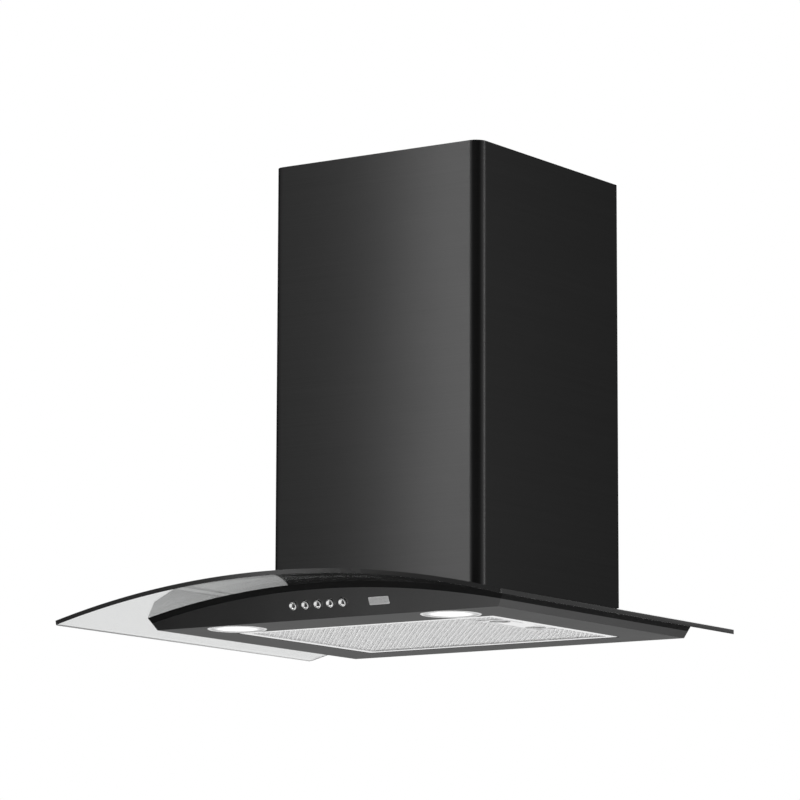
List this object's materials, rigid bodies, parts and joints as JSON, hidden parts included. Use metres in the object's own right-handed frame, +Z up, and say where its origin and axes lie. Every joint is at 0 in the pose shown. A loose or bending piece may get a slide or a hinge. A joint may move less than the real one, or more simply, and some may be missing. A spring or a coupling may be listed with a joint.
{
  "type": "curved glass range hood",
  "caption": "Wall range hood with an arched glass canopy over a shallow black body, a telescoping square chimney cover, push buttons, two lamps and a hinged grease filter.",
  "frame": {"origin": "on the wall plane, at the middle of the width, at the level of the flat underside", "axes": "+X to the right seen from the front, +Y into the wall, +Z up"},
  "size_m": [0.6, 0.5, 0.5488],
  "materials": {
    "black_paint": "satin black powder coat",
    "black_brushed_steel": "black stainless, fine level brushing",
    "canopy_glass": "clear toughened glass, polished edges",
    "black_rubber": "matt",
    "zinc_hardware": "zinc plated",
    "galvanised_sheet": "galvanised, faint spangle",
    "black_plastic": "moulded, fine grain",
    "pale_plastic": "moulded",
    "motor_enamel": "enamel",
    "satin_metal": "satin plated",
    "button_metal": "turned and satin plated",
    "lit_lens": "frosted, lit from behind",
    "filter_aluminium": "expanded mesh, satin"
  },
  "bodies": {
    "hood": {"underside_pan": "black_paint", "front_fascia": "black_paint", "left_side_panel": "black_paint", "right_side_panel": "black_paint", "rear_panel": "black_paint", "top_plate": "black_paint", "glass_seal": "black_rubber", "glass_canopy": "canopy_glass", "glass_bushes": "black_rubber", "glass_washers": "zinc_hardware", "glass_screws": "zinc_hardware", "glass_nuts": "zinc_hardware", "lower_chimney_cover": "black_brushed_steel", "cover_brackets": "galvanised_sheet", "blower_box": "galvanised_sheet", "box_screws": "zinc_hardware", "hanging_plate": "galvanised_sheet", "scroll_casing_left": "black_plastic", "scroll_casing_right": "black_plastic", "inlet_ring": "black_plastic", "motor_bracket": "galvanised_sheet", "blower_motor": "motor_enamel", "duct_collar": "galvanised_sheet", "flap_pin": "zinc_hardware", "run_capacitor": "pale_plastic", "capacitor_clamp": "galvanised_sheet", "terminal_box": "black_plastic", "terminal_lid": "black_plastic", "cable_gland": "black_plastic", "lamp_bezel_left": "satin_metal", "lamp_lens_left": "lit_lens", "lamp_body_left": "pale_plastic", "lamp_bezel_right": "satin_metal", "lamp_lens_right": "lit_lens", "lamp_body_right": "pale_plastic", "switch_bank": "black_plastic", "blank_plate": "satin_metal"},
    "chimney_extension": {"upper_chimney_cover": "black_brushed_steel"},
    "impeller": {"impeller": "black_plastic", "motor_shaft": "zinc_hardware"},
    "front_flap": {"flap_front": "galvanised_sheet"},
    "rear_flap": {"flap_rear": "galvanised_sheet"},
    "grease_filter": {"filter_frame": "filter_aluminium", "filter_mesh_lower": "filter_aluminium", "filter_pad_main": "filter_aluminium", "filter_pad_front": "filter_aluminium", "filter_pad_rear": "filter_aluminium", "filter_mesh_upper": "filter_aluminium", "latch_cup": "filter_aluminium"},
    "filter_latch": {"latch_slider": "filter_aluminium"},
    "push_button_1": {"button_1": "button_metal"},
    "push_button_2": {"button_2": "button_metal"},
    "push_button_3": {"button_3": "button_metal"},
    "push_button_4": {"button_4": "button_metal"},
    "push_button_5": {"button_5": "button_metal"}
  },
  "joints": [
    {"name": "chimney_slide", "type": "slide", "parent": "hood", "child": "chimney_extension", "axis": [0, 0, 1], "range_m": [0, 0.3]},
    {"name": "impeller_spin", "type": "hinge", "parent": "hood", "child": "impeller", "pos_m": [0, -0.17, 0.165], "axis": [1, 0, 0], "continuous": true},
    {"name": "front_flap_hinge", "type": "hinge", "parent": "hood", "child": "front_flap", "pos_m": [0, -0.1135, 0.326], "axis": [-1, 0, 0], "range_deg": [0, 75]},
    {"name": "rear_flap_hinge", "type": "hinge", "parent": "hood", "child": "rear_flap", "pos_m": [0, -0.1135, 0.326], "axis": [1, 0, 0], "range_deg": [0, 75]},
    {"name": "filter_swing", "type": "hinge", "parent": "hood", "child": "grease_filter", "pos_m": [-0.1755, -0.186, 0.0017], "axis": [0, 1, 0], "range_deg": [0, 35]},
    {"name": "latch_slide", "type": "slide", "parent": "grease_filter", "child": "filter_latch", "axis": [1, 0, 0], "range_m": [0, 0.0045]},
    {"name": "button_1_press", "type": "slide", "parent": "hood", "child": "push_button_1", "axis": [0, 0.9135, 0.4067], "range_m": [0, 0.0025], "stiffness_N_per_m": 400, "springref_m": -0.002},
    {"name": "button_2_press", "type": "slide", "parent": "hood", "child": "push_button_2", "axis": [0, 0.9135, 0.4067], "range_m": [0, 0.0025], "stiffness_N_per_m": 400, "springref_m": -0.002},
    {"name": "button_3_press", "type": "slide", "parent": "hood", "child": "push_button_3", "axis": [0, 0.9135, 0.4067], "range_m": [0, 0.0025], "stiffness_N_per_m": 400, "springref_m": -0.002},
    {"name": "button_4_press", "type": "slide", "parent": "hood", "child": "push_button_4", "axis": [0, 0.9135, 0.4067], "range_m": [0, 0.0025], "stiffness_N_per_m": 400, "springref_m": -0.002},
    {"name": "button_5_press", "type": "slide", "parent": "hood", "child": "push_button_5", "axis": [0, 0.9135, 0.4067], "range_m": [0, 0.0025], "stiffness_N_per_m": 400, "springref_m": -0.002}
  ]
}
